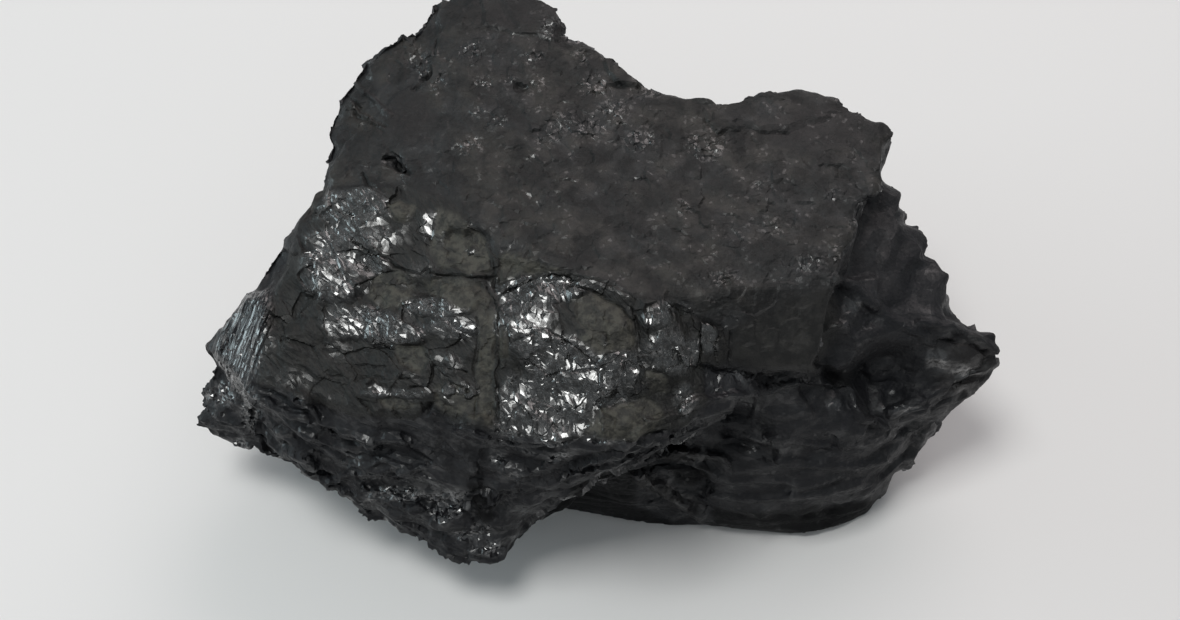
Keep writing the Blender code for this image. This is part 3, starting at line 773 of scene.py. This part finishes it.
def weathered_skin(node):
    """The lump's skin: the solid cut finely, given its forms, cut finer where it shows, and broken."""
    skin = Skin(fine_copy(node))
    trim_outline(skin)
    kind = regions(skin)
    side = kind["side"] * quietness(skin) * (1.0 - 0.7 * kind["smooth"]) * above_table(skin)
    add_beds(skin, side)
    add_flow(skin, side)
    beds = np.stack([skin.points[:, 0], skin.points[:, 1], 1.6 * bed_height(skin.points)], axis=1)
    skin.lift(side * turned_away(skin) * 0.22 * plates(beds, 8.0, 157))
    add_steps(skin, kind["facing"])
    add_swells(skin, kind["facing"])

    deep = crack_depth(wandering(skin.points), skin.points) * kind["facing"]
    skin.keep(kind)
    lively = kind["gloss"] + kind["stria"] + kind["sparkle"] + kind["shine"] * kind["facing"] + 4.0 * deep
    skin.cut_finer(lively > LIVELY_ENOUGH)
    kind = {name: skin.share(name) for name in kind}

    deep = crack_depth(wandering(skin.points), skin.points) * kind["facing"]
    skin.lift(-deep)
    bare = kind["gloss"] * (1.0 - 0.9 * kind["matte"])
    add_hackle(skin, bare, 0.22 + 0.78 * kind["shine"])
    above = above_table(skin)
    upward = smooth_step(-0.5, 0.0, skin.normals[:, 2])
    hidden_side = 0.4 * quietness(skin) * kind["side"] * turned_away(skin) * above * upward
    add_hackle(skin, hidden_side, kind["shine"])
    flecked = kind["side"] * kind["shine"] * kind["facing"] * above
    skin.lift(flecked * 0.6 * (nodules(skin.points, 1.1, 201) - 0.45))
    rough_top = kind["top"] * (1.0 - 0.7 * kind["smooth"])
    add_grain(skin, rough_top + 0.7 * kind["matte"] + 0.8 * kind["front"], kind["sparkle"])
    add_striations(skin, kind["stria"])
    keep_footing(skin)
    # Painted shade in cracks and shaded hollows: stored for a near-black colour, more roughness and no coat
    skin.keep({"painted_shade": np.clip(np.maximum(deep, kind["shade"]), 0.0, 1.0)})
    return thinned(skin.mesh)


# ---------------------------------------------------------------- finishes

# Colours as linear red, green and blue: a pair gives the two ends of a mixture
SIDE_COLOURS = (0.0026, 0.0030, 0.0050), (0.0056, 0.0056, 0.0072)
SLAB_GROUND = (0.0008, 0.0008, 0.0010)
SLAB_TINTS = (0.0158, 0.0166, 0.0176), (0.0232, 0.0210, 0.0184)
SLOPE_COLOURS = (0.0030, 0.0030, 0.0030), (0.0130, 0.0126, 0.0112)
PATCH_COLOURS = (0.0140, 0.0133, 0.0108), (0.0560, 0.0532, 0.0432)
BEVEL_COLOURS = (0.0066, 0.0064, 0.0062), (0.0185, 0.0176, 0.0164)
SMOOTH_COLOUR = (0.0075, 0.0065, 0.0068)
# Painted shade, the near-black colour of cracks and shaded hollows
PAINTED_SHADE_COLOUR = (0.0010, 0.0010, 0.0016)

# Table top, its colour with full alpha
TABLE_COLOUR = (0.78, 0.77, 0.765, 1.0)
TABLE_ROUGHNESS = 0.6

# Facets of the bump pattern and of the slab's tones, in millimetres across
GLINT_SIZE = 0.25
FLAKE_SIZE = 0.42
TILE_SIZE = 2.6


class Field:
    """A shader socket whose arithmetic adds Math nodes."""

    def __init__(self, graph, socket):
        self.graph = graph
        self.socket = socket

    def math(self, operation, *values):
        """The result of one Math node on the values."""
        return self.graph.node("ShaderNodeMath", {"operation": operation}, dict(enumerate(values)))

    def __add__(self, other):
        return self.math("ADD", self, other)

    def __sub__(self, other):
        return self.math("SUBTRACT", self, other)

    def __mul__(self, other):
        return self.math("MULTIPLY", self, other)

    __radd__ = __add__
    __rmul__ = __mul__

    def __rsub__(self, other):
        return self.math("SUBTRACT", other, self)

    def size(self):
        """The value without its sign."""
        return self.math("ABSOLUTE", self)

    def rise(self, low, high, to_low=0.0, to_high=1.0):
        """This value's smooth climb between low and high, set out from to_low to to_high."""
        settings = {"interpolation_type": "SMOOTHSTEP"}
        return self.graph.node("ShaderNodeMapRange", settings, {
            "Value": self, "From Min": low, "From Max": high, "To Min": to_low, "To Max": to_high,
        })


class Graph:
    """A material's nodes, added by one method."""

    def __init__(self, name):
        self.material = bpy.data.materials.new(name)
        self.material.use_nodes = True
        self.tree = self.material.node_tree
        self.shader = self.tree.nodes["Principled BSDF"]

    def node(self, kind, settings=None, values=None, output=0):
        """One node: its settings first, then its sockets' values or links. Returns the named output."""
        made = self.tree.nodes.new(kind)
        for name, value in (settings or {}).items():
            setattr(made, name, value)
        self.feed(made, values or {})
        return Field(self, made.outputs[output])

    def feed(self, made, values):
        """Links a field, or sets a plain value, on each named socket."""
        for name, value in values.items():
            if isinstance(value, Field):
                self.tree.links.new(value.socket, made.inputs[name])
            else:
                made.inputs[name].default_value = value

    def attribute(self, name):
        """A share that the skin stores on its points."""
        return self.node("ShaderNodeAttribute", {"attribute_name": name}, output="Fac")

    def blend(self, share, first, second):
        """Colour first where share is 0, second where it is 1."""
        made = self.tree.nodes.new("ShaderNodeMix")
        made.data_type = "RGBA"
        self.feed(made, {0: share})
        for index, colour in ((6, first), (7, second)):
            if isinstance(colour, Field):
                self.tree.links.new(colour.socket, made.inputs[index])
            else:
                made.inputs[index].default_value = (*colour, 1.0)
        return Field(self, made.outputs[2])

    def vector_math(self, operation, first, second, output=0):
        """The result of one Vector Math node on two places or colours."""
        return self.node("ShaderNodeVectorMath", {"operation": operation}, {0: first, 1: second}, output)


def facets(graph, place, size):
    """Facets too small for the mesh: each Voronoi cell is a plane with its own random tilt.

    Returns the height and the cell's own random value.
    """
    cell = graph.tree.nodes.new("ShaderNodeTexVoronoi")
    graph.feed(cell, {"Vector": place, "Scale": 1.0 / size})
    offset = graph.vector_math("SUBTRACT", place, Field(graph, cell.outputs["Position"]))
    lean = graph.vector_math("SUBTRACT", Field(graph, cell.outputs["Color"]), (0.5, 0.5, 0.5))
    height = graph.vector_math("DOT_PRODUCT", offset, lean, "Value")
    chance = graph.node("ShaderNodeSeparateColor", {}, {"Color": Field(graph, cell.outputs["Color"])})
    return height, chance


def coal_finish():
    """Glassy bright coal, dull slab and layered sides, told apart by the skin's own attributes."""
    graph = Graph("coal")
    object_place = graph.node("ShaderNodeTexCoord", output="Object")
    place = graph.vector_math("SCALE", object_place, (0.0, 0.0, 0.0))
    place.socket.node.inputs["Scale"].default_value = 1.0 / MM
    gloss, matte, top, front, shine = [
        graph.attribute(name) for name in ("gloss", "matte", "top", "front", "shine")
    ]
    stria, painted_shade, sparkle, smooth, calm = [
        graph.attribute(name) for name in ("stria", "painted_shade", "sparkle", "smooth", "calm")
    ]

    def speckle(size, detail, roughness=0.6, where=place):
        """Noise from 0 to 1 with its largest grain of that size in millimetres."""
        return graph.node("ShaderNodeTexNoise", {}, {
            "Vector": where, "Scale": 1.0 / size, "Detail": detail, "Roughness": roughness,
        })

    def stretched(turn, along):
        """Places with their first axis turned to a streak direction and drawn out along it."""
        return graph.node("ShaderNodeMapping", {"vector_type": "TEXTURE"}, {
            "Vector": place, "Rotation": turn, "Scale": (along, 1.0, 1.0),
        })

    coarse = speckle(7.0, 3.0)
    veil = speckle(2.2, 4.0, 0.65)
    blotch = speckle(3.4, 4.0, 0.6)
    mottle = speckle(1.1, 3.0, 0.65)
    fine = speckle(0.6, 3.0, 0.7)
    streaky = stretched((0.0, 0.0, sum(STREAK_LEANS) / 2.0), 3.5)
    streaks = speckle(0.55, 3.0, 0.65, streaky)
    crinkle = 1.0 - (speckle(1.0, 3.0, 0.6, streaky) - 0.5).size() * 4.0
    grooves = speckle(0.6, 2.0, 0.5, stretched(STRIATION_TURN, 6.0))
    glint = facets(graph, streaky, GLINT_SIZE)[0]
    flake, flake_chance = facets(graph, place, FLAKE_SIZE)
    tile_tone = facets(graph, place, TILE_SIZE)[1]

    side = 1.0 - gloss - top - front - stria
    keen = shine * (gloss + 0.8 * side) * mottle.rise(0.40, 0.56, 0.45, 1.15)
    spark = flake_chance.rise(0.90, 0.93) * blotch.rise(0.46, 0.60) * (0.6 * top + 0.4 * side)
    spark = spark + sparkle * flake_chance.rise(0.60, 0.70)
    roughness = 0.64 + painted_shade * 0.25 - keen * 0.38 - stria * 0.38 - spark * 0.34
    roughness = roughness + (mottle - 0.5) * 0.25 * (1.0 - shine)

    dark = graph.blend(coarse.rise(0.35, 0.65), *SIDE_COLOURS)
    tint = graph.blend(coarse.rise(0.40, 0.60), *SLAB_TINTS)
    light = blotch.rise(0.38, 0.68) * (0.3 + mottle * 0.9) + tile_tone * 0.35 + sparkle * 0.3
    slab = graph.blend(light, SLAB_GROUND, tint)
    slope = graph.blend(streaks.rise(0.35, 0.65), *SLOPE_COLOURS)
    stipple = mottle * 0.5 + fine * 0.3 + veil * 0.2
    brown = graph.blend(stipple.rise(0.40, 0.60), *PATCH_COLOURS)
    bevel = graph.blend(veil.rise(0.40, 0.62), *BEVEL_COLOURS)
    colour = graph.blend(top, dark, slab)
    colour = graph.blend(smooth * (1.0 - gloss), colour, SMOOTH_COLOUR)
    colour = graph.blend(front, colour, bevel)
    colour = graph.blend(gloss, colour, slope)
    colour = graph.blend(matte, colour, brown)
    # Painted shade: cracks and shaded hollows are darkened to near black
    colour = graph.blend(painted_shade.rise(0.2, 0.8), colour, PAINTED_SHADE_COLOUR)

    foil = gloss * (0.2 + 0.8 * shine) * (1.0 - 0.9 * matte)
    height = foil * (glint * 1.15 + streaks * 0.95 + crinkle * 0.45) + gloss * matte * fine * 0.14
    dull = (1.0 - gloss) * (1.0 - stria) * (1.0 - 0.3 * front) * (1.0 - 0.7 * shine)
    height = height + dull * (flake * 0.26 + fine * 0.12) + stria * grooves * 0.7
    bump = graph.node("ShaderNodeBump", {}, {"Height": height, "Distance": MM, "Strength": 1.0})
    veiled = side * (1.0 - painted_shade) * veil.rise(0.45, 0.62) * (0.2 + 0.15 * smooth - 0.1 * calm)
    coat = (1.0 - painted_shade) * keen + stria * grooves.rise(0.44, 0.58, 0.12, 1.0) + top * light * 0.06
    coat = coat + veiled + spark * 0.32
    graph.feed(graph.shader, {
        "Base Color": colour, "Roughness": roughness, "Normal": bump, "IOR": 1.42,
        "Coat Weight": coat, "Coat Roughness": 0.22, "Coat IOR": 1.95,
    })
    return graph.material


def floor_finish():
    """A pale matt table top."""
    graph = Graph("table top")
    graph.feed(graph.shader, {"Base Color": TABLE_COLOUR, "Roughness": TABLE_ROUGHNESS})
    return graph.material


# ---------------------------------------------------------------- pieces, floor and light

# Soft lights: name, place and size in metres, watts and colour
LIGHTS = [
    ("overhead", (-0.165, -0.04, 0.73), (0.24, 0.24), 2.55, (0.99, 1.0, 0.98)),
    ("window", (-0.85, 0.12, 0.26), (0.5, 0.3), 2.0, (0.78, 0.95, 1.0)),
    ("lamp", (0.28, 0.64, 0.62), (0.70, 0.70), 3.1, (1.0, 0.89, 0.88)),
]
LIGHTS_AIM = (0.0, 0.0, 0.025)
ROOM_COLOUR = (0.91, 0.97, 1.0, 1.0)
ROOM_STRENGTH = 0.305
FLOOR_REACH = 1.5


def add_coal_lump():
    """The lump: its skin and finish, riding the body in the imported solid's place."""
    mesh = weathered_skin(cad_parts["coal_lump"])
    mesh.materials.clear()
    mesh.materials.append(coal_finish())
    lump = bpy.data.objects.new("weathered_lump", mesh)
    bpy.context.scene.collection.objects.link(lump)
    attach(lump, "root")
    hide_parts("coal_lump")


def add_floor():
    """The table top, a square far larger than the picture."""
    reach = FLOOR_REACH
    mesh = bpy.data.meshes.new("floor")
    corners = [(-reach, -reach, 0.0), (reach, -reach, 0.0), (reach, reach, 0.0), (-reach, reach, 0.0)]
    mesh.from_pydata(corners, [], [(0, 1, 2, 3)])
    mesh.materials.append(floor_finish())
    floor = bpy.data.objects.new("floor", mesh)
    bpy.context.scene.collection.objects.link(floor)


def add_softbox(name, place, size, watts, colour):
    """An area light at a place in metres, turned to face the lump."""
    data = bpy.data.lights.new(name, "AREA")
    data.shape = "RECTANGLE"
    data.size, data.size_y = size
    data.energy = watts
    data.color = colour
    light = bpy.data.objects.new(name, data)
    light.location = place
    light.rotation_mode = "QUATERNION"
    light.rotation_quaternion = (Vector(place) - Vector(LIGHTS_AIM)).to_track_quat("Z", "Y")
    bpy.context.scene.collection.objects.link(light)


def add_lights():
    """The soft lights, and the room's even light."""
    for name, place, size, watts, colour in LIGHTS:
        add_softbox(name, place, size, watts, colour)
    world = bpy.data.worlds.new("room")
    bpy.context.scene.world = world
    world.use_nodes = True
    room = world.node_tree.nodes["Background"]
    room.inputs["Color"].default_value = ROOM_COLOUR
    room.inputs["Strength"].default_value = ROOM_STRENGTH
    bpy.context.scene.view_settings.view_transform = "Standard"


add_camera()
add_coal_lump()
add_floor()
add_lights()
